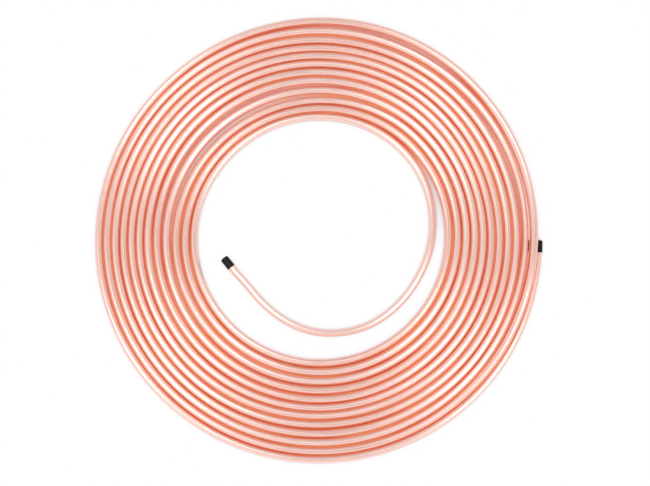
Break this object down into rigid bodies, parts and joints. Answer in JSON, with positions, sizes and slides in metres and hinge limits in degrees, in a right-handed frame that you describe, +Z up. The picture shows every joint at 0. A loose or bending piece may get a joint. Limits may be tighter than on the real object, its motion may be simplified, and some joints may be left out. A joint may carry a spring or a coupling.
{
  "type": "copper tube coil",
  "caption": "Flat single-layer spiral coil of bare soft copper tube, its inner end sprung loose into the open middle, with a slip-on plastic cap on each end.",
  "frame": {"origin": "middle of the bounding box in plan, on the floor that the coil lies on", "axes": "+Z up out of the floor, square to the spiral; +X towards the capped outer end; +Y in plan, left of +X"},
  "size_m": [0.2918, 0.2908, 0.0098],
  "materials": {
    "copper": "bare drawn copper, bright and smooth, with faint drawing lines",
    "cap_plastic": "soft black vinyl with a dull gloss"
  },
  "bodies": {
    "root": {"copper_tube": "copper", "inner_end_cap": "cap_plastic", "outer_end_cap": "cap_plastic"}
  },
  "joints": []
}
